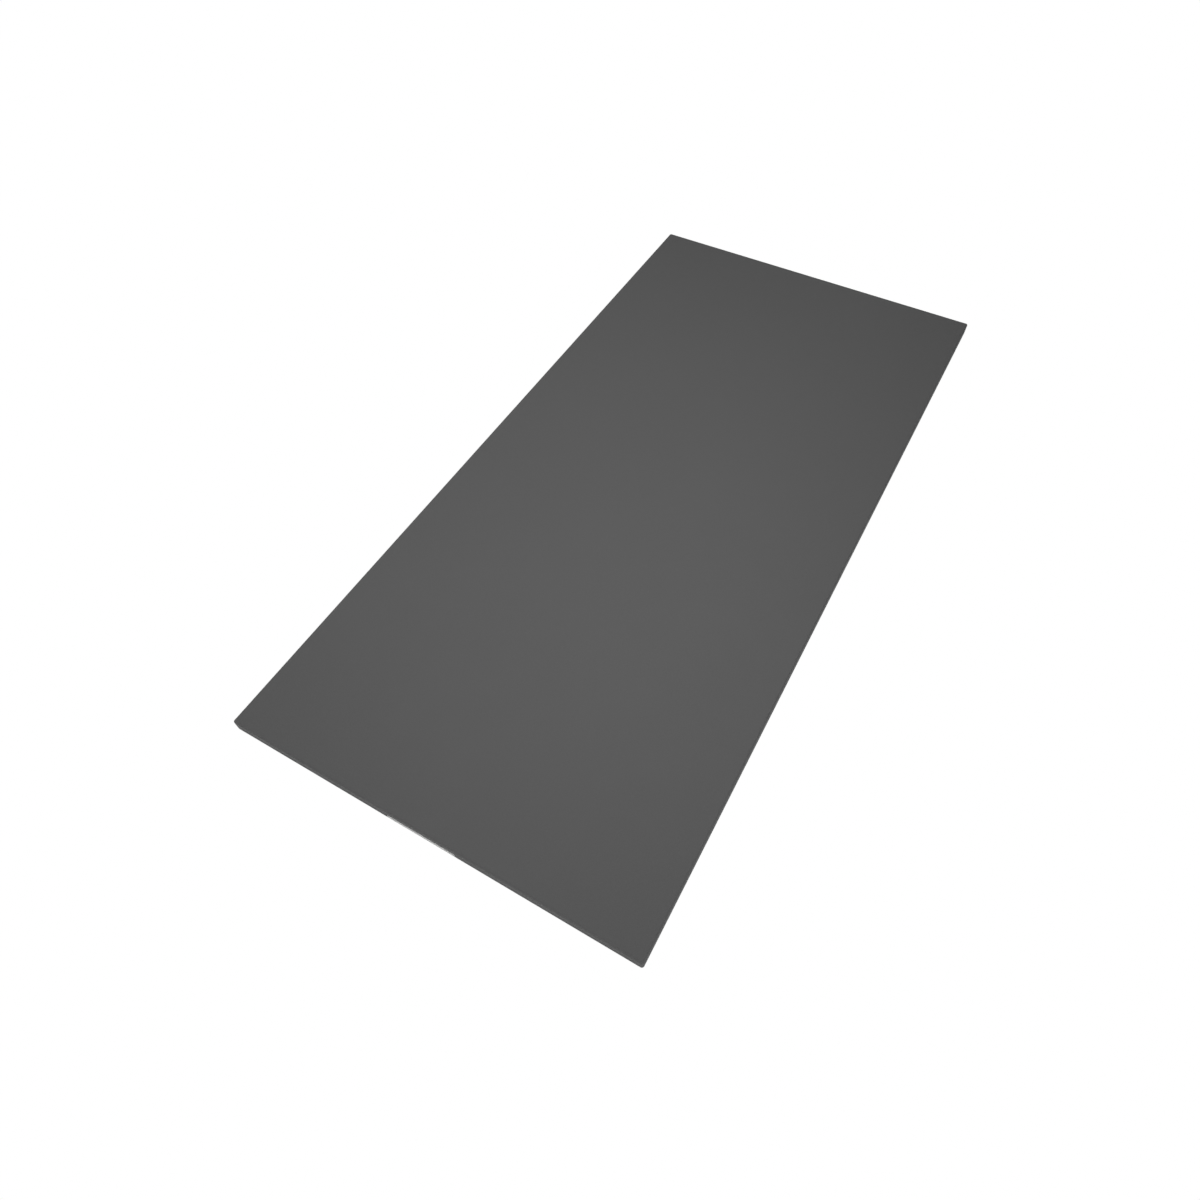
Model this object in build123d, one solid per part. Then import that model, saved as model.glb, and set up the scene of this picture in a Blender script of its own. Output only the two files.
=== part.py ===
from build123d import *

import os

# Self-adhesive door kick plate: a sheet-metal face with its four edges folded
# back into a shallow pan, packed with a light core board and fixed to the door
# by strips of foam tape under peel-off liners.
#
# Millimetres. +X runs along the plate's width, +Y up the door, +Z out of the face.
# The origin is the centre of the back plane, where the plate meets the door.

# ---- face pan ----------------------------------------------------------------
WIDTH = 830.0            # long side, for a door leaf 838 wide
HEIGHT = 400.0           # short side, the height a wheelchair footrest reaches
TOTAL_DEPTH = 12.5       # back plane to face
SHEET_T = 1.2            # aluminium sheet
CORNER_R = 2.2           # outside plan radius of the four corners
BEND_R_OUT = 1.8         # outside radius of the four folds
BEND_R_IN = BEND_R_OUT - SHEET_T
RETURN_CLEAR = 0.5       # the returns stop this far short of the back plane
EDGE_BREAK = 0.2         # chamfer on the outer edge of the returns
CUT_OVERSHOOT = 1.0      # the hollow is cut this far past the returns' free edge

NOTCH_W = 68.0           # lifting notch in each short return
NOTCH_H = 5.5            # measured up from the return's free edge
NOTCH_Y = 2.3            # its middle, above the middle of the return
NOTCH_R = 1.0            # radius of its two inner corners
NOTCH_REACH = 3 * SHEET_T    # cutter length either side of the plate's end

# ---- filling and tape --------------------------------------------------------
LINER_T = 0.13           # peel-off film over each tape strip
LINER_GAP = 0.02         # gap between a liner and its tape
TAPE_T = 2.0             # foam tape
TAPE_W = 25.0
CORE_T = 9.0             # closed-cell foam board
CORE_SIDE_GAP = 1.0      # core board to the inside of a return
CORE_R = 2.0             # plan radius of its corners

RAIL_LEN = 810.0         # top, centre and bottom strips
RAIL_Y = 180.0           # centre line of the top and bottom strips
END_X = 395.0            # centre line of the end strips
END_GAP = 5.0            # between an end strip and the rails above and below it

# ---- derived sizes -----------------------------------------------------------
INNER_W = WIDTH - 2 * SHEET_T
INNER_H = HEIGHT - 2 * SHEET_T
CORE_W = INNER_W - 2 * CORE_SIDE_GAP
CORE_H = INNER_H - 2 * CORE_SIDE_GAP
END_LEN = RAIL_Y - TAPE_W - 2 * END_GAP
END_Y = RAIL_Y / 2       # end strips sit midway between two rails

# Heights of the stack, from the back plane up. The laminating film fills
# what is left between the core board and the inside of the face.
Z_TAPE_BOT = LINER_T + LINER_GAP
Z_TAPE_TOP = Z_TAPE_BOT + TAPE_T
Z_CORE_TOP = Z_TAPE_TOP + CORE_T
Z_FACE_IN = TOTAL_DEPTH - SHEET_T

# Tape strips: centre x, centre y, size along x, size along y
TAPE_LAYOUT = {
    "top": (0, RAIL_Y, RAIL_LEN, TAPE_W),
    "centre": (0, 0, RAIL_LEN, TAPE_W),
    "bottom": (0, -RAIL_Y, RAIL_LEN, TAPE_W),
    "left_upper": (-END_X, END_Y, TAPE_W, END_LEN),
    "left_lower": (-END_X, -END_Y, TAPE_W, END_LEN),
    "right_upper": (END_X, END_Y, TAPE_W, END_LEN),
    "right_lower": (END_X, -END_Y, TAPE_W, END_LEN),
}


def slab(width, height, radius, bottom, top):
    """Flat block with rounded plan corners, centred on the origin in plan."""
    return extrude(Pos(0, 0, bottom) * RectangleRounded(width, height, radius), top - bottom)


def strip(x, y, width, height, bottom, top):
    """Square-cornered strip centred on x, y."""
    return Pos(x, y, (bottom + top) / 2) * Box(width, height, top - bottom)


def make_notch_cutter():
    """Twice the notch height, so its lower half falls clear of the return."""
    cutter = extrude(Plane.YZ * Rectangle(NOTCH_W, 2 * NOTCH_H), NOTCH_REACH, both=True)
    return fillet(cutter.edges().filter_by(Axis.X), NOTCH_R)


def make_face_pan():
    """Folded sheet with closed corners and a notch in each short return."""
    outer = slab(WIDTH, HEIGHT, CORNER_R, RETURN_CLEAR, TOTAL_DEPTH)
    outer = fillet(outer.faces().sort_by(Axis.Z)[-1].edges(), BEND_R_OUT)
    outer = chamfer(outer.faces().sort_by(Axis.Z)[0].edges(), EDGE_BREAK)

    hollow = slab(INNER_W, INNER_H, CORNER_R - SHEET_T, RETURN_CLEAR - CUT_OVERSHOOT, Z_FACE_IN)
    hollow = fillet(hollow.faces().sort_by(Axis.Z)[-1].edges(), BEND_R_IN)

    pan = outer - hollow
    notch = make_notch_cutter()
    for side in (-1, 1):
        pan -= Pos(side * WIDTH / 2, NOTCH_Y, RETURN_CLEAR) * notch
    return pan


parts = {
    "face_pan": make_face_pan(),
    "laminating_film": slab(CORE_W, CORE_H, CORE_R, Z_CORE_TOP, Z_FACE_IN),
    "core_board": slab(CORE_W, CORE_H, CORE_R, Z_TAPE_TOP, Z_CORE_TOP),
}
for place, plan in TAPE_LAYOUT.items():
    parts["foam_tape_" + place] = strip(*plan, Z_TAPE_BOT, Z_TAPE_TOP)
    parts["release_liner_" + place] = strip(*plan, 0.0, LINER_T)

os.makedirs("parts", exist_ok=True)
for name, shape in parts.items():
    export_step(shape, f"parts/{name}.step")
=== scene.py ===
"""Looks for the door kick plate: folded pan, laminating film, core board, foam tapes and liners.

The plate lies flat, centred on x and y, with its long side along x and its face up (+z).
The returns fold down to the floor. Everything is in metres, in the row frame."""

import math
from collections import namedtuple

import bmesh
import bpy
from mathutils import Matrix, Vector


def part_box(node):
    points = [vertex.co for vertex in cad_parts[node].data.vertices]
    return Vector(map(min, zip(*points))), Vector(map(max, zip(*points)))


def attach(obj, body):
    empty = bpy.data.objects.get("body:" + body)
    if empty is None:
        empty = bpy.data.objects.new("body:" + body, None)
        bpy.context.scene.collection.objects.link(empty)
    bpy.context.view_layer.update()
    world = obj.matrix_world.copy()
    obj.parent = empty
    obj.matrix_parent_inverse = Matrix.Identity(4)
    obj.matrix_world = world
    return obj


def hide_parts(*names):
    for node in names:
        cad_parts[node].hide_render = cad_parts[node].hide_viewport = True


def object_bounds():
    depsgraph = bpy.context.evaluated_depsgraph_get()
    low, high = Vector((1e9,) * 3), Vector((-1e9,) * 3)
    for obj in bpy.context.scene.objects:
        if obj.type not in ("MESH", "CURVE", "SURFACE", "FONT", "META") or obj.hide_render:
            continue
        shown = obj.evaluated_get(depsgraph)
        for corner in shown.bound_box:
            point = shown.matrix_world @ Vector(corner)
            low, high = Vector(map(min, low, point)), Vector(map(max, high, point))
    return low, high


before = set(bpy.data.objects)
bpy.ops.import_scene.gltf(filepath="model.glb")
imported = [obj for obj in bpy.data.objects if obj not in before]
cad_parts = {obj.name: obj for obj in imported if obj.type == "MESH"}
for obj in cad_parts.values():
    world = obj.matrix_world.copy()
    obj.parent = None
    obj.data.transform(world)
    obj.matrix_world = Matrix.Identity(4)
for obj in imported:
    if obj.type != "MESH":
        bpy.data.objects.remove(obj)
CAD_BOX = [list(v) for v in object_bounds()]
HALF_X, HALF_Y = CAD_BOX[1][0], CAD_BOX[1][1]
scene = bpy.context.scene
MM = 0.001

# ---- the pan's sheet ----
SHEET_T = 1.2 * MM         # sheet thickness
CORNER_R = 2.2 * MM        # plan radius of the corners
BEND_R = 1.8 * MM          # outside radius of the folds
RIM_R = 0.2 * MM           # deburred edge of the returns

# ---- the notch in each short return ----
NOTCH_HALF = 34.0 * MM     # half its length along y
NOTCH_Y = 2.3 * MM         # its middle, a little to +y of the side's middle
NOTCH_TOP = 6.0 * MM
NOTCH_R = 1.0 * MM         # radius of its two upper corners

# ---- the pan's mesh ----
PAN_STEP = 9.0 * MM        # longest grid step
PAN_CORNER_STEPS = 6
NOTCH_ARC_STEPS = 5
RIM_STEPS = 3              # steps in each quarter of the rounded edge
SAME = 1e-7                # lengths closer than this are equal
# grid lines out from the notch's middle: even steps, then lines close to its end
NOTCH_STEPS_END = 32.0 * MM
NOTCH_STEP = 8.2 * MM
NOTCH_END_LINES = (-1.0, 0.0, 0.5, 1.5)      # mm from the notch's end
NOTCH_MARGIN = 4.0 * MM    # from the notch's end to where the even grid starts again

# painted fold shade and wear weight down the bend, one entry per step: (-x side, +x and +y sides);
# -y has none
FOLD_TOP_SHADE_AND_WEAR_WEIGHTS = (0.0, 0.1)
FOLD_SHADE_AND_WEAR_WEIGHTS = (
    (0.0, 0.2), (0.1, 0.4), (0.4, 0.6), (0.9, 0.7),
    (1.3, 0.7), (1.5, 0.6), (1.3, 0.4), (0.6, 0.2),
)
# rows down the return: (height in mm, painted fold shade and wear weight, darker
# towards the bottom edge); the notch's top and the start of its corner radius each have a row
RETURN_ROWS = (
    (10.3, 0.10), (9.2, 0.0), (7.7, 0.0), (6.0, 0.0), (5.0, 0.0),
    (3.9, 0.0), (2.7, 0.0), (1.6, 0.05), (0.95, 0.25),
)
# painted fold shade and wear weight at the returns' free edge
RETURN_END_SHADE_AND_WEAR_WEIGHT = 0.6

# ---- surface relief of the flat pieces ----
SAW_WANDER = 0.035 * MM    # half of the sawn edge's wander
TAPE_WAIST = 0.14 * MM     # draw-in of the tape's sides at mid height
TAPE_WANDER = 0.02 * MM
EMBOSS_PITCH = 3.4 * MM    # diamond ridges, measured along x or y
EMBOSS_WIDTH = 0.16        # half width of a ridge, as a part of the pitch
EMBOSS_TOP = 0.045 * MM
EMBOSS_UNDER = 0.035 * MM


# ================================================================================
# mesh tools
# ================================================================================
def smooth_noise(x, y, z, seed):
    """Smooth deterministic noise, about -1 to 1."""
    s = seed * 12.9898
    return (
        math.sin(x * 1.000 + 1.7 * math.sin(y * 0.731 + s) + s)
        + math.sin(y * 1.173 + 1.3 * math.sin(z * 0.917 + x * 0.619 - s) + 2.1 * s)
        + math.sin(z * 1.391 + 1.1 * math.sin(x * 0.853 + s * 0.7) - 1.3 * s)
    ) / 3.0


def make_object(name, verts, faces, body, attributes=None):
    """A closed, smooth-shaded mesh object with outward normals, riding on a body."""
    mesh = bpy.data.meshes.new(name)
    mesh.from_pydata([tuple(v) for v in verts], [], faces)
    bm = bmesh.new()
    bm.from_mesh(mesh)
    bmesh.ops.recalc_face_normals(bm, faces=bm.faces)
    bad = [e for e in bm.edges if len(e.link_faces) != 2]
    if bad:
        raise RuntimeError(f"{name}: {len(bad)} open or shared edges")
    if bm.calc_volume(signed=True) < 0:
        bmesh.ops.reverse_faces(bm, faces=bm.faces)
    for face in bm.faces:
        face.smooth = True
    bm.to_mesh(mesh)
    bm.free()
    for key, values in (attributes or {}).items():
        mesh.attributes.new(key, "FLOAT", "POINT").data.foreach_set("value", values)
    ob = bpy.data.objects.new(name, mesh)
    scene.collection.objects.link(ob)
    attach(ob, body)
    return ob


def steps(start, end, size):
    """Points from start to end at most size apart, both ends included."""
    n = max(1, int(math.ceil(abs(end - start) / size - 1e-9)))
    return [start + (end - start) * i / n for i in range(n + 1)]


def quarter(n):
    """Angles from 0 to 90 degrees in n steps, both ends included."""
    return [math.radians(90.0 * k / n) for k in range(n + 1)]


# spot: the grid point (i, j) the column hangs from; nx, ny: its outward normal
Column = namedtuple("Column", "spot nx ny side")


def ring_columns(xs, ys, arc):
    """Columns round a rectangle, anticlockwise from above, with arc steps at each corner."""
    end_i, end_j = len(xs) - 1, len(ys) - 1
    sides = (
        ([(end_i, j) for j in range(end_j + 1)], (1.0, 0.0), "+x"),
        ([(i, end_j) for i in range(end_i, -1, -1)], (0.0, 1.0), "+y"),
        ([(0, j) for j in range(end_j, -1, -1)], (-1.0, 0.0), "-x"),
        ([(i, 0) for i in range(end_i + 1)], (0.0, -1.0), "-y"),
    )
    columns = []
    for turn, (spots, normal, side) in enumerate(sides):
        columns += [Column(spot, *normal, side) for spot in spots]
        for angle in quarter(arc)[1:-1]:
            angle += math.radians(90.0 * turn)
            columns.append(Column(spots[-1], math.cos(angle), math.sin(angle), "corner"))
    return columns


def flat_grids(xs, ys, top_z, bottom_z):
    """An upper and a lower grid: vertices, faces, and each grid's vertex by (i, j)."""
    verts, faces, top, bottom = [], [], {}, {}
    for i, x in enumerate(xs):
        for j, y in enumerate(ys):
            top[i, j], bottom[i, j] = len(verts), len(verts) + 1
            verts += [[x, y, top_z(x, y)], [x, y, bottom_z(x, y)]]
    for i in range(len(xs) - 1):
        for j in range(len(ys) - 1):
            faces.append((top[i, j], top[i + 1, j], top[i + 1, j + 1], top[i, j + 1]))
            faces.append((bottom[i, j], bottom[i, j + 1], bottom[i + 1, j + 1], bottom[i + 1, j]))
    return verts, faces, top, bottom


def strip(first, second):
    """Quads between two lines of vertices."""
    return [(first[k], first[k + 1], second[k + 1], second[k]) for k in range(len(first) - 1)]


def no_move(*_):
    return 0.0


def slab(name, body, box, corner_r, edge_r, step_x, step_y, arc=4, edge=3, side_rows=4,
         top=no_move, bottom=no_move, side=no_move):
    """Closed flat block filling a box, all quads but for the small corner fans.
    top and bottom give small moves up, side gives small moves inward."""
    (x0, y0, z0), (x1, y1, z1) = box
    xs = steps(x0 + corner_r, x1 - corner_r, step_x)
    ys = steps(y0 + corner_r, y1 - corner_r, step_y)
    columns = ring_columns(xs, ys, arc)

    # rows down the side: (distance out from the grid, height)
    round_over = [(corner_r - edge_r + edge_r * math.sin(t), edge_r * math.cos(t))
                  for t in quarter(edge)]
    high, low = z1 - edge_r, z0 + edge_r
    rows = [(out, high + rise) for out, rise in round_over]
    rows += [(corner_r, high + (low - high) * k / side_rows) for k in range(1, side_rows)]
    rows += [(out, low - rise) for out, rise in reversed(round_over)]
    last = len(rows) - 1

    verts, faces, top_grid, bottom_grid = flat_grids(
        xs, ys, lambda x, y: z1 + top(x, y), lambda x, y: z0 + bottom(x, y))
    ring = []
    for (i, j), nx, ny, _ in columns:
        line = []
        for k, (out, z) in enumerate(rows):
            x, y = xs[i] + out * nx, ys[j] + out * ny
            if k == 0:
                z += top(x, y)
            elif k == last:
                z += bottom(x, y)
            else:
                inward = side(x, y, z)
                x, y = x - inward * nx, y - inward * ny
            line.append(len(verts))
            verts.append([x, y, z])
        ring.append(line)

    for c, column in enumerate(columns):
        d = (c + 1) % len(columns)
        spot, next_spot = column.spot, columns[d].spot
        here, after = ring[c], ring[d]
        if spot == next_spot:
            faces.append((top_grid[spot], here[0], after[0]))
            faces.append((bottom_grid[spot], after[-1], here[-1]))
        else:
            faces.append((top_grid[spot], here[0], after[0], top_grid[next_spot]))
            faces.append((bottom_grid[spot], bottom_grid[next_spot], after[-1], here[-1]))
        faces += strip(here, after)
    return make_object(name, verts, faces, body)


# ================================================================================
# the folded pan: one sheet, four folds, a lifting notch in each short return
# ================================================================================
def pan_lines_y(reach):
    """Grid lines along y, closer together at the notch's ends."""
    near = steps(0.0, NOTCH_STEPS_END, NOTCH_STEP)
    near += [NOTCH_HALF + v * MM for v in NOTCH_END_LINES]
    return (
        steps(-reach, NOTCH_Y - NOTCH_HALF - NOTCH_MARGIN, PAN_STEP)
        + [NOTCH_Y - v for v in reversed(near[1:])]
        + [NOTCH_Y + v for v in near]
        + steps(NOTCH_Y + NOTCH_HALF + NOTCH_MARGIN, reach, PAN_STEP)
    )


def pan_section(top_z, bottom_z):
    """Rows of the section: (outer distance, outer z, inner distance, inner z,
    painted fold shade and wear weight on -x, the same on +x and +y)."""
    flat = CORNER_R - BEND_R                 # flat strip outside the grid, before the bend
    inner_r = BEND_R - SHEET_T
    rows = [(flat, top_z, flat, top_z - SHEET_T, *FOLD_TOP_SHADE_AND_WEAR_WEIGHTS)]
    for angle, shade_and_wear_weights in zip(quarter(len(FOLD_SHADE_AND_WEAR_WEIGHTS))[1:], FOLD_SHADE_AND_WEAR_WEIGHTS):
        s, c = math.sin(angle), math.cos(angle)
        rows.append((flat + BEND_R * s, top_z - BEND_R + BEND_R * c,
                     flat + inner_r * s, top_z - BEND_R + inner_r * c, *shade_and_wear_weights))
    returns = [(z * MM, shade_and_wear_weight) for z, shade_and_wear_weight in RETURN_ROWS]
    for z, shade_and_wear_weight in returns + [(bottom_z, RETURN_END_SHADE_AND_WEAR_WEIGHT)]:
        rows.append((CORNER_R, z, CORNER_R - SHEET_T, z, shade_and_wear_weight, shade_and_wear_weight))
    return rows


class Pan:
    """The pan's mesh: an outer and an inner skin, joined round the free edge."""

    def __init__(self):
        low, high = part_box("face_pan")
        self.half_x = high.x
        reach_x, reach_y = high.x - CORNER_R, high.y - CORNER_R
        self.xs = steps(-reach_x, reach_x, PAN_STEP)
        self.ys = pan_lines_y(reach_y)
        self.columns = ring_columns(self.xs, self.ys, PAN_CORNER_STEPS)
        self.rows = pan_section(high.z, low.z)
        self.last = len(self.rows) - 1
        self.notch_row = next(k for k, row in enumerate(self.rows) if row[1] == NOTCH_TOP)
        # each column's y from the notch's middle, or None off the short sides
        self.notch_y = [self.ys[c.spot[1]] - NOTCH_Y if c.side in ("+x", "-x") else None
                        for c in self.columns]
        self.verts, self.faces, *self.grids = flat_grids(
            self.xs, self.ys, lambda x, y: high.z, lambda x, y: high.z - SHEET_T)
        self.painted_fold_shade_and_wear = [0.0] * len(self.verts)
        self.rim = [0.0] * len(self.verts)
        # vertices of the outer and inner skin: one dict per column, by row
        self.skins = [[{} for _ in self.columns] for _ in self.grids]
        self.edge = []     # free edge in order: (outer vertex, inner vertex, normal, into sheet)
        self.arcs = {}     # the rounded corner's edge points, by the column at the notch's end

    def put(self, point, painted_fold_shade_and_wear=0.0, rim=0.0):
        self.verts.append(list(point))
        self.painted_fold_shade_and_wear.append(painted_fold_shade_and_wear)
        self.rim.append(rim)
        return len(self.verts) - 1

    def hang_columns(self):
        """Vertices of both skins down the folds and returns, none inside the notch."""
        outer, inner = self.skins
        for c, ((i, j), nx, ny, _) in enumerate(self.columns):
            x, y, notch_y = self.xs[i], self.ys[j], self.notch_y[c]
            in_notch = notch_y is not None and abs(notch_y) < NOTCH_HALF - SAME
            left, far = max(0.0, -nx) ** 2, max(0.0, nx) ** 2 + max(0.0, ny) ** 2
            for k, (out_r, out_z, in_r, in_z, left_shade_and_wear, far_shade_and_wear) in enumerate(self.rows):
                if in_notch and k > self.notch_row:
                    continue
                # painted shade and wear weight of this column, by its side
                shade_and_wear_weight = left_shade_and_wear * left + far_shade_and_wear * far
                outer[c][k] = self.put((x + out_r * nx, y + out_r * ny, out_z), shade_and_wear_weight)
                inner[c][k] = self.put((x + in_r * nx, y + in_r * ny, in_z))

    def edge_point(self, c, k, into_sheet):
        outer, inner = self.skins
        normal = Vector((self.columns[c].nx, self.columns[c].ny, 0.0))
        return outer[c][k], inner[c][k], normal, Vector(into_sheet)

    def walk_edge(self):
        for c, y in enumerate(self.notch_y):
            if y is None or abs(y) > NOTCH_HALF + SAME:
                self.edge.append(self.edge_point(c, self.last, (0, 0, 1)))
            elif abs(y) < NOTCH_HALF - SAME:
                self.edge.append(self.edge_point(c, self.notch_row, (0, 0, 1)))
            else:
                self.walk_notch_end(c, y)

    def walk_notch_end(self, c, y):
        """The notch's upright end and the rounded corner above it."""
        nx = self.columns[c].nx              # also the direction of travel along y
        away = math.copysign(1.0, y)
        wall = [self.edge_point(c, k, (0, away, 1 if k == self.last else 0))
                for k in range(self.last, self.notch_row, -1)]
        arc = []
        for angle in quarter(NOTCH_ARC_STEPS)[1:-1]:
            s, t = math.sin(angle), math.cos(angle)
            arc_y = NOTCH_Y + away * (NOTCH_HALF - NOTCH_R + NOTCH_R * t)
            arc_z = NOTCH_TOP - NOTCH_R + NOTCH_R * s
            arc.append((self.put((self.half_x * nx, arc_y, arc_z)),
                        self.put(((self.half_x - SHEET_T) * nx, arc_y, arc_z)),
                        Vector((nx, 0.0, 0.0)), Vector((0, away * t, s))))
        entering = away * nx < 0
        self.edge += wall + arc if entering else (wall + arc)[::-1]
        self.arcs[c] = arc

    def cover_skins(self):
        for c, column in enumerate(self.columns):
            d = (c + 1) % len(self.columns)
            for grid, skin, winding in zip(self.grids, self.skins, (1, -1)):
                a, b = grid[column.spot], grid[self.columns[d].spot]
                cap = (a, skin[c][0], skin[d][0])
                self.faces.append((cap if a == b else cap + (b,))[::winding])
                for k in range(self.last):
                    corners = ((c, k), (c, k + 1), (d, k + 1), (d, k))
                    if all(row in skin[col] for col, row in corners):
                        self.faces.append(tuple(skin[col][row] for col, row in corners)[::winding])

    def fill_notch_corners(self):
        """Small fans at the notch's two upper corners."""
        for c, arc in self.arcs.items():
            neighbours = ((c + 1) % len(self.columns), c - 1)
            inside = min(neighbours, key=lambda d: abs(self.notch_y[d]))
            for which, skin in enumerate(self.skins):
                chain = [skin[c][self.notch_row + 1]] + [point[which] for point in arc]
                chain.append(skin[inside][self.notch_row])
                for a, b in zip(chain[:-1], chain[1:]):
                    self.faces.append((skin[c][self.notch_row], a, b))

    def round_edge(self):
        """Rounded, deburred edge joining the two skins."""
        # profile: (distance into the sheet, depth from the outer skin)
        profile = [(RIM_R * (1 - math.sin(t)), RIM_R * (1 - math.cos(t)))
                   for t in quarter(RIM_STEPS)[1:]]
        profile += [(a, SHEET_T - b) for a, b in reversed(profile)]
        lines = []
        for outer, inner, normal, into_sheet in self.edge:
            p, q = Vector(self.verts[outer]), Vector(self.verts[inner])
            middle = [self.put(p + into_sheet * a - normal * b, rim=1.0) for a, b in profile]
            lines.append([outer, *middle, inner])
            self.verts[outer] = list(p + into_sheet * RIM_R)
            self.verts[inner] = list(q + into_sheet * RIM_R)
            self.rim[outer], self.rim[inner] = 0.7, 0.5
            self.painted_fold_shade_and_wear[outer] = 0.0
        for here, after in zip(lines, lines[1:] + lines[:1]):
            self.faces += strip(here, after)

    def build(self):
        self.hang_columns()
        self.walk_edge()
        self.cover_skins()
        self.fill_notch_corners()
        self.round_edge()
        return make_object("pan_sheet", self.verts, self.faces, "plate",
                           {"painted_fold_shade_and_wear": self.painted_fold_shade_and_wear, "rim": self.rim})


# ================================================================================
# materials
# ================================================================================
class Nodes:
    """A material under construction. Underscores in input names stand for spaces."""

    def __init__(self, name):
        self.mat = bpy.data.materials.new(name)
        self.mat.use_nodes = True
        self.tree = self.mat.node_tree
        self.tree.nodes.clear()
        self.out = self.tree.nodes.new("ShaderNodeOutputMaterial")
        self.bsdf = self.tree.nodes.new("ShaderNodeBsdfPrincipled")
        self.link(self.bsdf.outputs[0], self.out.inputs[0])
        self.obj = self.node("ShaderNodeTexCoord").outputs["Object"]

    def link(self, value, socket):
        if isinstance(value, bpy.types.NodeSocket):
            self.tree.links.new(value, socket)
        else:
            socket.default_value = value

    def fill(self, node, inputs):
        for key, value in inputs.items():
            self.link(value, node.inputs[key.replace("_", " ")])
        return node

    def node(self, kind, **inputs):
        return self.fill(self.tree.nodes.new(kind), inputs)

    def set(self, **inputs):
        self.fill(self.bsdf, inputs)

    def noise(self, scale, detail=2.0, rough=0.5, vec=None, dist=0.0):
        return self.node("ShaderNodeTexNoise", Vector=vec or self.obj, Scale=scale, Detail=detail,
                         Roughness=rough, Distortion=dist).outputs["Fac"]

    def voronoi(self, scale):
        return self.node("ShaderNodeTexVoronoi", Vector=self.obj, Scale=scale).outputs["Distance"]

    def span(self, value, lo, hi, to_lo=0.0, to_hi=1.0):
        """value mapped from lo..hi to to_lo..to_hi, clamped."""
        return self.node("ShaderNodeMapRange", Value=value, From_Min=lo, From_Max=hi,
                         To_Min=to_lo, To_Max=to_hi).outputs["Result"]

    def math(self, op, a, b=0.0):
        node = self.tree.nodes.new("ShaderNodeMath")
        node.operation = op
        self.link(a, node.inputs[0])
        self.link(b, node.inputs[1])
        return node.outputs[0]

    def times(self, value, by):
        return self.math("MULTIPLY", value, by)

    def mix(self, factor, a, b):
        """Colour a at factor 0, colour b at factor 1."""
        node = self.tree.nodes.new("ShaderNodeMix")
        node.data_type = "RGBA"
        self.link(factor, node.inputs["Factor"])
        self.link(a, node.inputs[6])
        self.link(b, node.inputs[7])
        return node.outputs[2]

    def mapped(self, scale=(1, 1, 1), turn=0.0):
        """Object coordinates scaled, and turned about z by degrees."""
        return self.node("ShaderNodeMapping", Vector=self.obj, Scale=scale,
                         Rotation=(0, 0, math.radians(turn))).outputs[0]

    def attr(self, name):
        node = self.tree.nodes.new("ShaderNodeAttribute")
        node.attribute_name = name
        return node.outputs["Fac"]

    def bump(self, height, dist, strength=1.0, normal=None):
        node = self.node("ShaderNodeBump", Height=height, Distance=dist, Strength=strength)
        if normal is not None:
            self.link(normal, node.inputs["Normal"])
        return node.outputs[0]

    def cut_mask(self):
        """1 on the cut sides, 0 on the faces turned up or down."""
        geometry = self.node("ShaderNodeNewGeometry")
        normal = self.node("ShaderNodeSeparateXYZ", Vector=geometry.outputs["Normal"])
        return self.span(self.math("ABSOLUTE", normal.outputs["Z"]),
                         lo=0.35, hi=0.75, to_lo=1.0, to_hi=0.0)


def grey(v):
    return (v, v, v, 1.0)


def powder_coat():
    """Matt dark-grey powder coat: fine baked grain, low orange peel, painted shade along the folds,
    folds slightly rubbed.
    """
    m = Nodes("powder_coat")
    base = 0.056
    bare_metal = (0.60, 0.61, 0.62, 1.0)
    grain = m.noise(scale=2600.0, detail=3.0, rough=0.6)
    peel = m.noise(scale=330.0, detail=1.0, rough=0.4)
    broad = m.noise(scale=7.0, detail=3.0, rough=0.5)
    smudge = m.noise(scale=22.0, detail=4.0, rough=0.62, dist=0.8)
    specks = m.span(m.voronoi(scale=900.0), lo=0.05, hi=0.16, to_lo=1.0, to_hi=0.0)
    col = m.mix(m.span(grain, lo=0.34, hi=0.66), grey(base * 0.84), grey(base * 1.16))
    col = m.mix(m.span(broad, lo=0.30, hi=0.70, to_hi=0.35), col,
                (base * 1.05, base * 1.05, base * 1.06, 1.0))
    col = m.mix(m.times(specks, by=0.20), col, grey(base * 1.9))
    painted_fold_shade_and_wear, rim = m.attr("painted_fold_shade_and_wear"), m.attr("rim")
    # painted shade darkens the folds, most on -x, less on +x and +y, none on -y, and the returns'
    # lower edges; rubbed spots of wear lighten them
    painted_fold_shade = m.span(m.noise(scale=90.0, detail=3.0, rough=0.6),
                  lo=0.30, hi=0.70, to_lo=0.24, to_hi=0.46)
    # painted shade: the folds are mixed towards base * 0.62
    col = m.mix(m.times(painted_fold_shade_and_wear, painted_fold_shade), col, grey(base * 0.62))
    breakup = m.span(m.noise(scale=420.0, detail=4.0, rough=0.7), lo=0.56, hi=0.70)
    rub = m.times(m.times(painted_fold_shade_and_wear, breakup), by=0.22)
    col = m.mix(rub, col, grey(base * 2.4))
    chip = m.times(m.span(rim, lo=0.6, hi=1.0),
                   m.span(m.noise(scale=650.0, detail=3.0, rough=0.7), lo=0.64, hi=0.70))
    m.set(Base_Color=m.mix(chip, col, bare_metal), Metallic=m.times(chip, by=0.9))
    rough = m.span(grain, lo=0.25, hi=0.75, to_lo=0.56, to_hi=0.68)
    rough = m.math("SUBTRACT", rough, m.times(m.span(smudge, lo=0.40, hi=0.80), by=0.02))
    rough = m.math("SUBTRACT", rough, m.times(rub, by=0.25))
    relief = m.bump(peel, dist=0.030 * MM, strength=0.8)
    relief = m.bump(m.math("ADD", grain, m.times(specks, by=0.5)), dist=0.030 * MM, normal=relief)
    m.set(Roughness=rough, Specular_IOR_Level=0.38, Normal=relief)
    return m.mat


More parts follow.
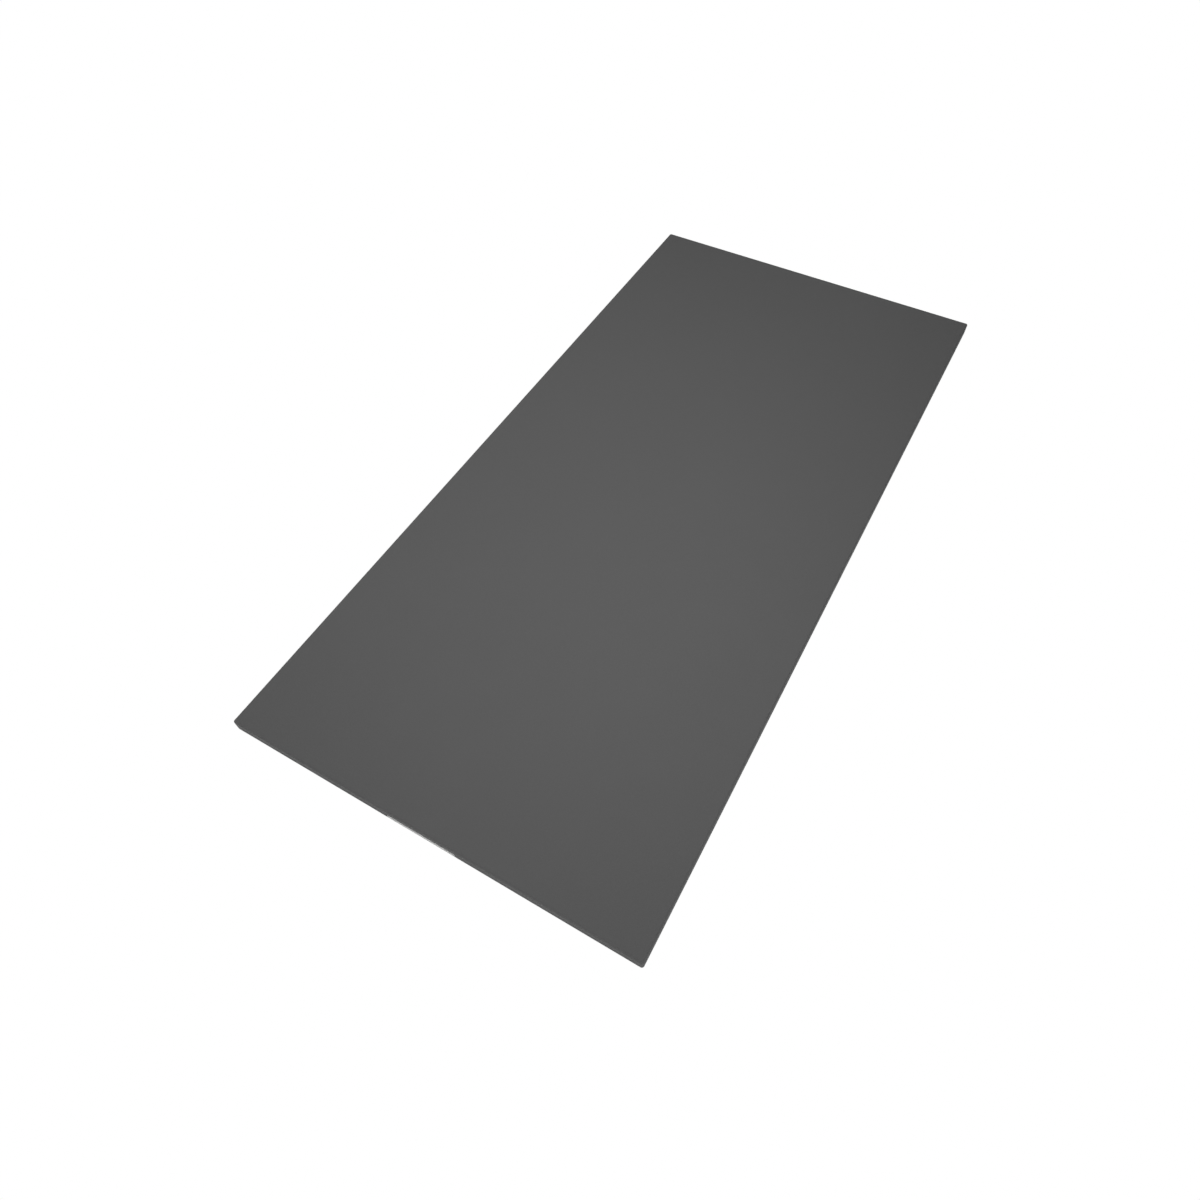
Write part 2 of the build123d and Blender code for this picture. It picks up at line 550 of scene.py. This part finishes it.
def laminating_film():
    """Laminating film: milky, slightly yellow, faint roller streaks."""
    m = Nodes("laminating_film")
    pale, milky, streaked = (0.76, 0.75, 0.70, 1.0), (0.70, 0.69, 0.62, 1.0), (0.62, 0.61, 0.55, 1.0)
    streak = m.noise(scale=1.0, detail=3.0, rough=0.6, vec=m.mapped(scale=(6.0, 240.0, 240.0)))
    mottle = m.noise(scale=160.0, detail=4.0, rough=0.6)
    col = m.mix(m.span(mottle, lo=0.3, hi=0.7), milky, pale)
    m.set(
        Base_Color=m.mix(m.span(streak, lo=0.4, hi=0.7, to_hi=0.4), col, streaked),
        Roughness=m.span(mottle, lo=0.3, hi=0.7, to_lo=0.24, to_hi=0.42),
        Transmission_Weight=0.25,
        Normal=m.bump(m.math("ADD", streak, mottle), dist=0.02 * MM, strength=0.6),
    )
    return m.mat


def core_board():
    """Pale closed-cell foam board: satin skin on the faces, open pitted cells on the cut edges, with
    painted shade in the pits.
    """
    m = Nodes("core_board")
    skin_dark, skin_pale = (0.70, 0.70, 0.68, 1.0), (0.76, 0.76, 0.75, 1.0)
    skin_fleck = (0.66, 0.66, 0.64, 1.0)
    painted_pit_shade, pit_high = (0.52, 0.52, 0.50, 1.0), (0.78, 0.78, 0.76, 1.0)
    saw_mark = (0.60, 0.60, 0.57, 1.0)
    cut = m.cut_mask()
    pits = m.span(m.voronoi(scale=2600.0), lo=0.10, hi=0.55)
    saw = m.noise(scale=1.0, detail=2.0, rough=0.6, vec=m.mapped(scale=(260.0, 260.0, 2200.0)))
    broad = m.noise(scale=9.0, detail=3.0, rough=0.5)
    skin = m.mix(m.span(broad, lo=0.3, hi=0.7), skin_dark, skin_pale)
    flecks = m.noise(scale=700.0, detail=3.0, rough=0.6)
    skin = m.mix(m.span(flecks, lo=0.35, hi=0.65, to_hi=0.35), skin, skin_fleck)
    # painted shade: the pits' hollows, low in the bump, are darker
    edge = m.mix(pits, painted_pit_shade, pit_high)
    edge = m.mix(m.span(saw, lo=0.42, hi=0.62, to_hi=0.35), edge, saw_mark)
    m.set(Base_Color=m.mix(cut, skin, edge), Roughness=m.mix(cut, grey(0.55), grey(0.88)),
          Specular_IOR_Level=0.35)
    height = m.math("ADD", m.times(pits, cut), m.times(saw, m.times(cut, by=0.8)))
    relief = m.bump(height, dist=0.12 * MM, strength=0.8)
    grain = m.noise(scale=900.0, detail=3.0, rough=0.6)
    m.set(Normal=m.bump(grain, dist=0.02 * MM, strength=0.7, normal=relief))
    return m.mat


def foam_tape():
    """Dark-grey acrylic foam: tacky faces with a fine skin, closed cells on the slit sides, with
    painted shade in the cells.
    """
    m = Nodes("foam_tape")
    dark, light = (0.020, 0.020, 0.021, 1.0), (0.030, 0.030, 0.031, 1.0)
    painted_cell_shade, fleck = (0.008, 0.008, 0.008, 1.0), (0.045, 0.045, 0.047, 1.0)
    cut = m.cut_mask()
    cells = m.span(m.voronoi(scale=3400.0), lo=0.05, hi=0.5)
    fine = m.noise(scale=2400.0, detail=3.0, rough=0.6)
    broad = m.noise(scale=40.0, detail=3.0, rough=0.5)
    col = m.mix(m.span(broad, lo=0.3, hi=0.7), dark, light)
    # painted shade: the cells' hollows, low in the bump, are darker
    col = m.mix(m.times(m.math("SUBTRACT", 1.0, cells), cut), col, painted_cell_shade)
    col = m.mix(m.span(fine, lo=0.4, hi=0.7, to_hi=0.3), col, fleck)
    m.set(Base_Color=col, Roughness=m.mix(cut, grey(0.46), grey(0.82)), Specular_IOR_Level=0.45)
    relief = m.bump(m.times(cells, cut), dist=0.10 * MM, strength=0.8)
    m.set(Normal=m.bump(fine, dist=0.02 * MM, strength=0.8, normal=relief))
    return m.mat


def release_liner():
    """Red release film: glossy, with the fine diamond emboss that lets air out, and a painted
    highlight on its ridges.
    """
    m = Nodes("release_liner")
    deep, bright = (0.50, 0.035, 0.030, 1.0), (0.60, 0.055, 0.045, 1.0)
    painted_ridge_highlight = (0.74, 0.13, 0.11, 1.0)
    bands = [m.node("ShaderNodeTexWave", Vector=m.mapped(turn=turn), Scale=330.0, Distortion=0.0,
                    Detail=0.0).outputs["Fac"] for turn in (45, -45)]
    ridge = m.math("MAXIMUM", *bands)
    broad = m.noise(scale=30.0, detail=3.0, rough=0.5)
    fine = m.noise(scale=1800.0, detail=2.0, rough=0.5)
    col = m.mix(m.span(broad, lo=0.3, hi=0.7), deep, bright)
    # painted highlight: the emboss ridges' crests are lighter red
    col = m.mix(m.span(ridge, lo=0.80, hi=1.0, to_hi=0.30), col, painted_ridge_highlight)
    m.set(Base_Color=col, Roughness=m.span(fine, lo=0.3, hi=0.7, to_lo=0.24, to_hi=0.36),
          Specular_IOR_Level=0.5, Coat_Weight=0.15, Coat_Roughness=0.2)
    relief = m.bump(m.span(ridge, lo=0.75, hi=1.0), dist=0.03 * MM, strength=0.8)
    m.set(Normal=m.bump(fine, dist=0.006 * MM, strength=0.5, normal=relief))
    return m.mat


def studio_floor():
    """Pale seamless paper: almost even, faint fibre."""
    m = Nodes("studio_floor")
    fibre = m.noise(scale=420.0, detail=4.0, rough=0.6)
    m.set(Base_Color=m.mix(m.span(fibre, lo=0.3, hi=0.7), grey(0.76), grey(0.80)),
          Roughness=0.9, Specular_IOR_Level=0.2)
    # squared distance past the centres of the plate's corner arcs
    place = m.node("ShaderNodeSeparateXYZ", Vector=m.obj)
    past = [m.math("MAXIMUM", m.math("SUBTRACT", m.math("ABSOLUTE", place.outputs[axis]),
                                     half - CORNER_R))
            for axis, half in (("X", HALF_X), ("Y", HALF_Y))]
    gap = m.math("ADD", *[m.times(p, p) for p in past])
    under = m.math("LESS_THAN", gap, CORNER_R * CORNER_R)    # the plate's own rounded outline
    # pure white to the camera, plain paper to the light, and never white under the plate
    seen = m.node("ShaderNodeLightPath").outputs["Is Camera Ray"]
    white = m.node("ShaderNodeEmission", Color=grey(1.0), Strength=1.0)
    both = m.node("ShaderNodeMixShader", Fac=m.times(seen, m.math("SUBTRACT", 1.0, under)))
    m.link(m.bsdf.outputs[0], both.inputs[1])
    m.link(white.outputs[0], both.inputs[2])
    m.link(both.outputs[0], m.out.inputs[0])
    m.set(Normal=m.bump(fibre, dist=0.05 * MM, strength=0.3))
    return m.mat


# ================================================================================
# the pieces
# ================================================================================
# each material's function bears the name of its slot
MATERIALS = {make.__name__: make() for make in
             (powder_coat, laminating_film, core_board, foam_tape, release_liner)}


def dress(ob, slot, cad_piece):
    """Give a piece its material and slot, and let it stand for its CAD piece."""
    ob.data.materials.append(MATERIALS[slot])
    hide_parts(cad_piece)


def sawn(x, y, z):
    """Inward wander of the core's sawn edge."""
    return SAW_WANDER * (1 + smooth_noise(x * 900, y * 900, z * 1500, seed=3.0))


def emboss(x, y):
    """1 on the crest of a diamond ridge, 0 between ridges."""
    u, v = (x + y) / EMBOSS_PITCH, (x - y) / EMBOSS_PITCH
    nearest = min(abs(u - round(u)), abs(v - round(v)))
    return max(0.0, 1 - nearest / EMBOSS_WIDTH)


def liner_top(x, y):
    return -EMBOSS_TOP * (1 - emboss(x, y))


def liner_under(x, y):
    return EMBOSS_UNDER * emboss(x, y)


def build_tape(place, seed):
    low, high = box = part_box("foam_tape_" + place)
    middle, half = (low.z + high.z) / 2, (high.z - low.z) / 2

    def waist(x, y, z):
        """The slit sides draw in a little at mid height."""
        u = (z - middle) / half
        wander = 1 + smooth_noise(x * 1400, y * 1400, z * 900, seed)
        return TAPE_WAIST * (1 - u * u) + TAPE_WANDER * wander

    tape = slab("tape_" + place, "plate", box, corner_r=0.35 * MM, edge_r=0.12 * MM,
                step_x=6 * MM, step_y=5 * MM, arc=3, side=waist)
    dress(tape, "foam_tape", "foam_tape_" + place)


def build_liner(place):
    liner = slab("liner_" + place, "liner_" + place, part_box("release_liner_" + place),
                 corner_r=0.4 * MM, edge_r=0.03 * MM, step_x=1.7 * MM, step_y=1.7 * MM,
                 arc=3, edge=2, side_rows=1, top=liner_top, bottom=liner_under)
    dress(liner, "release_liner", "release_liner_" + place)


dress(Pan().build(), "powder_coat", "face_pan")

film = slab("film_sheet", "plate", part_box("laminating_film"), corner_r=2.0 * MM,
            edge_r=0.05 * MM, step_x=40 * MM, step_y=40 * MM, edge=2, side_rows=1)
dress(film, "laminating_film", "laminating_film")

core = slab("core_panel", "plate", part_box("core_board"), corner_r=2.0 * MM,
            edge_r=0.25 * MM, step_x=9 * MM, step_y=9 * MM, side_rows=6, side=sawn)
dress(core, "core_board", "core_board")

PLACES = ("top", "centre", "bottom", "left_upper", "left_lower", "right_upper", "right_lower")
for number, place in enumerate(PLACES):
    build_tape(place, seed=number)
    build_liner(place)

# ================================================================================
# floor, light, camera
# ================================================================================
FLOOR_R = 9.0
FLOOR_Z = -0.05 * MM       # just below the returns
AMBIENT = 0.155            # world strength as light
BACKDROP = 1.0             # world strength as the camera sees it

# (name, place, aim, diameter, watts)
SOFTBOXES = (
    ("key", (0.3, 0.0, 1.0), (0, 0, 0), 0.5, 5.60),
    ("key_back", (0.0, 0.6, 1.0), (0, 0, 0), 0.5, 4.15),
    ("key_left", (-0.3, 0.0, 1.0), (0, 0, 0), 0.5, 1.48),
    ("fill_far", (0.9, 0.6, 1.0), (0, 0, 0), 0.5, 1.22),
    ("side_near", (-1.2, -1.0, 0.6), (0, 0, 0), 0.5, 9.01),
    ("side_left", (-1.0, 0.8, 0.5), (0, 0, 0), 0.5, 2.25),
    ("side_low", (-1.3, 0.1, 0.075), (-0.41, 0, 0.006), 0.13, 2.75),
    ("side_front", (0.1, -1.3, 0.15), (0, -0.2, 0), 0.26, 3.6),
    ("side_far", (1.4, 0.1, 0.06), (0.41, 0, 0.006), 0.1, 0.7),
    ("side_back", (0.1, 1.4, 0.06), (0, 0.2, 0.006), 0.1, 1.0),
)

CAMERA_PLACE = (-0.542665, -0.248505, 0.666765)
CAMERA_AXES = (
    (0.49471813, -0.86890991, -0.01579665),   # right
    (0.71717720, 0.39792748, 0.57211064),     # up
    (-0.49082669, -0.29436250, 0.82002431),   # backward
)


def build_floor():
    mesh = bpy.data.meshes.new("floor")
    angles = [math.radians(a) for a in range(0, 360, 6)]
    ring = [(FLOOR_R * math.cos(a), FLOOR_R * math.sin(a), FLOOR_Z) for a in angles]
    mesh.from_pydata(ring, [], [tuple(range(len(ring)))])
    floor = bpy.data.objects.new("floor", mesh)
    scene.collection.objects.link(floor)
    mesh.materials.append(studio_floor())


def build_world():
    world = bpy.data.worlds.new("studio")
    scene.world = world
    world.use_nodes = True
    nodes, links = world.node_tree.nodes, world.node_tree.links
    nodes.clear()
    output = nodes.new("ShaderNodeOutputWorld")
    mix = nodes.new("ShaderNodeMixShader")
    for socket, strength in ((1, AMBIENT), (2, BACKDROP)):
        background = nodes.new("ShaderNodeBackground")
        background.inputs["Color"].default_value = grey(1.0)
        background.inputs["Strength"].default_value = strength
        links.new(background.outputs[0], mix.inputs[socket])
    path = nodes.new("ShaderNodeLightPath")
    links.new(path.outputs["Is Camera Ray"], mix.inputs["Fac"])
    links.new(mix.outputs[0], output.inputs["Surface"])


def build_softbox(name, place, aim, diameter, watts):
    light = bpy.data.lights.new(name, "AREA")
    light.shape = "DISK"
    light.size = diameter
    light.energy = watts
    ob = bpy.data.objects.new(name, light)
    ob.location = place
    ob.rotation_mode = "QUATERNION"
    ob.rotation_quaternion = (Vector(place) - Vector(aim)).to_track_quat("Z", "Y")
    scene.collection.objects.link(ob)


def build_camera():
    data = bpy.data.cameras.new("camera")
    data.sensor_width = 36.0
    data.lens = 25.512
    data.clip_start, data.clip_end = 0.01, 60.0
    camera = bpy.data.objects.new("camera", data)
    turn = Matrix(CAMERA_AXES).transposed()
    camera.matrix_world = Matrix.Translation(CAMERA_PLACE) @ turn.to_4x4()
    scene.collection.objects.link(camera)
    scene.camera = camera


build_floor()
build_world()
for softbox in SOFTBOXES:
    build_softbox(*softbox)
build_camera()

scene.view_settings.view_transform = "Standard"
scene.view_settings.look = "None"
scene.view_settings.exposure = 0.0
scene.view_settings.gamma = 1.0
